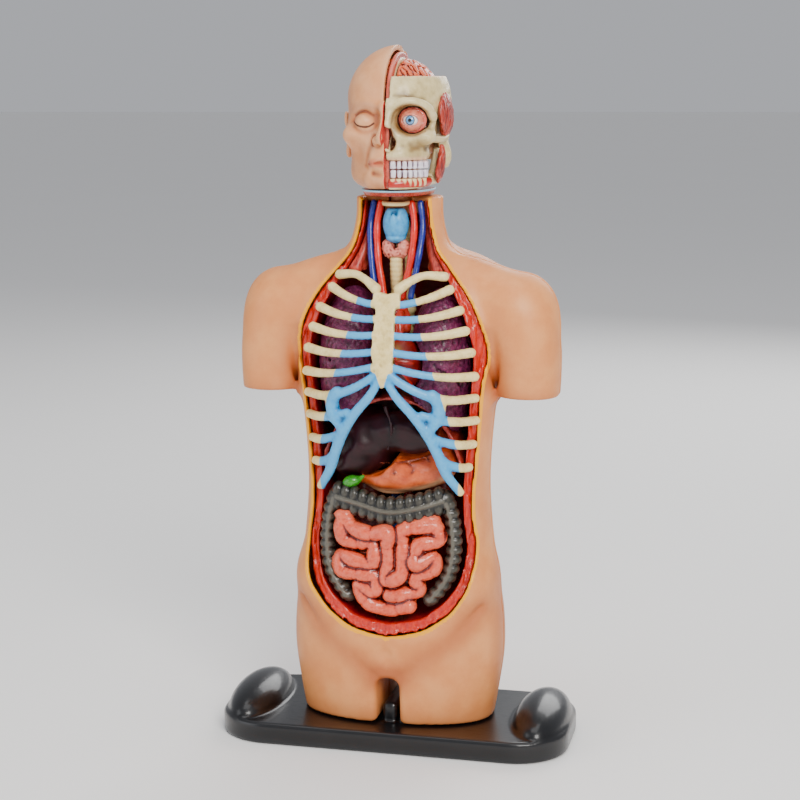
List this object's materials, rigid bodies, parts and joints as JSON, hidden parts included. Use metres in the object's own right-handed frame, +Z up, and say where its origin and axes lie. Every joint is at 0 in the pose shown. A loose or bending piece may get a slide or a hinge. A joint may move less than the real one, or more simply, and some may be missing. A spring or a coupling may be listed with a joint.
{
  "type": "torso anatomy model",
  "caption": "Take-apart human torso anatomy model with a half skin, half bone head, removable rib cage and organs, on a low display stand.",
  "frame": {"origin": "on the table, centre of the underside of the display stand", "axes": "+Z up along the body to the crown, front of the figure towards -Y, the figure's left (bone half of the head) towards +X"},
  "size_m": [0.196, 0.088, 0.3799],
  "materials": {
    "stand": "black, glossy",
    "skin": "painted soft vinyl, satin, airbrushed shading",
    "muscle": "painted red, satin",
    "lining": "painted crimson, glossy",
    "bone": "painted cream, satin",
    "tooth": "off-white, glossy",
    "cartilage": "painted sky blue, satin",
    "artery": "painted bright red, glossy",
    "vein": "painted dark blue, glossy",
    "lung": "painted purple, satin",
    "heart": "painted dark red, glossy",
    "kidney": "painted red-brown, glossy",
    "spleen": "painted dark purple, glossy",
    "liver": "painted dark maroon, glossy",
    "gall": "painted green, glossy",
    "stomach": "painted orange with dark vessels, satin",
    "pancreas": "painted yellow-orange, satin",
    "colon": "painted grey, glossy",
    "bowel": "painted salmon pink, glossy",
    "bladder": "painted orange, glossy",
    "brain": "painted pink-orange, satin",
    "eye": "white with a blue iris, high gloss"
  },
  "bodies": {
    "base": {"display_stand": "stand"},
    "torso": {"torso_front_shell": "skin", "torso_back_shell": "skin", "cavity_liner": "lining", "spinal_column": "bone", "diaphragm": "muscle", "kidney_right": "kidney", "kidney_left": "kidney", "abdominal_aorta": "artery", "vena_cava": "vein", "spleen": "spleen", "pancreas": "pancreas", "bladder": "bladder", "rectum": "colon", "oesophagus": "muscle", "trachea": "bone", "thyroid_gland": "bowel", "larynx": "cartilage", "carotid_artery_right": "artery", "carotid_artery_left": "artery", "jugular_vein_right": "vein", "jugular_vein_left": "vein", "neck_muscle_right": "muscle", "neck_muscle_left": "muscle", "neck_peg": "skin"},
    "head": {"head_base": "muscle", "head_mid_plate": "muscle", "skull_half": "bone", "mandible": "bone", "upper_teeth": "tooth", "lower_teeth": "tooth", "temporalis_muscle": "muscle", "masseter_muscle": "muscle", "eye_muscle_ring": "muscle", "brain_stem": "brain"},
    "face": {"face_half": "skin"},
    "brain_right": {"brain_half_right": "brain"},
    "brain_left": {"brain_half_left": "brain"},
    "eye": {"eyeball": "eye"},
    "ribs": {"rib_cage": "bone", "clavicle_right": "bone", "clavicle_left": "bone"},
    "right_lung": {"lung_right": "lung"},
    "left_lung": {"lung_left": "lung"},
    "heart_body": {"heart": "heart"},
    "vessels": {"great_vessels": "artery", "superior_vena_cava": "vein"},
    "liver_body": {"liver": "liver", "gallbladder": "gall"},
    "stomach_body": {"stomach": "stomach"},
    "bowel": {"small_intestine": "bowel"},
    "colon": {"large_intestine": "colon"}
  },
  "joints": [
    {"name": "torso_lift", "type": "slide", "parent": "base", "child": "torso", "axis": [0, 0, 1], "range_m": [0, 0.03]},
    {"name": "head_lift", "type": "slide", "parent": "torso", "child": "head", "axis": [0, 0, 1], "range_m": [0, 0.03]},
    {"name": "face_slide", "type": "slide", "parent": "head", "child": "face", "axis": [-1, 0, 0], "range_m": [0, 0.06]},
    {"name": "brain_right_slide", "type": "slide", "parent": "head", "child": "brain_right", "axis": [-1, 0, 0], "range_m": [0, 0.027]},
    {"name": "brain_left_lift", "type": "slide", "parent": "head", "child": "brain_left", "axis": [0, 0, 1], "range_m": [0, 0.045]},
    {"name": "eye_pull", "type": "slide", "parent": "head", "child": "eye", "axis": [0, -1, 0], "range_m": [0, 0.015]},
    {"name": "ribs_pull", "type": "slide", "parent": "torso", "child": "ribs", "axis": [0, -1, 0], "range_m": [0, 0.15]},
    {"name": "liver_pull", "type": "slide", "parent": "torso", "child": "liver_body", "axis": [0, -1, 0], "range_m": [0, 0.105]},
    {"name": "heart_pull", "type": "slide", "parent": "torso", "child": "heart_body", "axis": [0, -1, 0], "range_m": [0, 0.0975]},
    {"name": "vessels_pull", "type": "slide", "parent": "torso", "child": "vessels", "axis": [0, -1, 0], "range_m": [0, 0.075]},
    {"name": "stomach_pull", "type": "slide", "parent": "torso", "child": "stomach_body", "axis": [0, -1, 0], "range_m": [0, 0.06]},
    {"name": "lung_right_pull", "type": "slide", "parent": "torso", "child": "right_lung", "axis": [0, -1, 0], "range_m": [0, 0.045]},
    {"name": "lung_left_pull", "type": "slide", "parent": "torso", "child": "left_lung", "axis": [0, -1, 0], "range_m": [0, 0.045]},
    {"name": "bowel_pull", "type": "slide", "parent": "torso", "child": "bowel", "axis": [0, -1, 0], "range_m": [0, 0.08]},
    {"name": "colon_pull", "type": "slide", "parent": "torso", "child": "colon", "axis": [0, -1, 0], "range_m": [0, 0.04]}
  ],
  "couplings": [
    {"joint": "brain_right_slide", "follows": "face_slide", "ratio": 0.45},
    {"joint": "liver_pull", "follows": "ribs_pull", "ratio": 0.7},
    {"joint": "heart_pull", "follows": "ribs_pull", "ratio": 0.65},
    {"joint": "vessels_pull", "follows": "ribs_pull", "ratio": 0.5},
    {"joint": "stomach_pull", "follows": "ribs_pull", "ratio": 0.4},
    {"joint": "lung_right_pull", "follows": "ribs_pull", "ratio": 0.3},
    {"joint": "lung_left_pull", "follows": "ribs_pull", "ratio": 0.3},
    {"joint": "colon_pull", "follows": "bowel_pull", "ratio": 0.5}
  ]
}
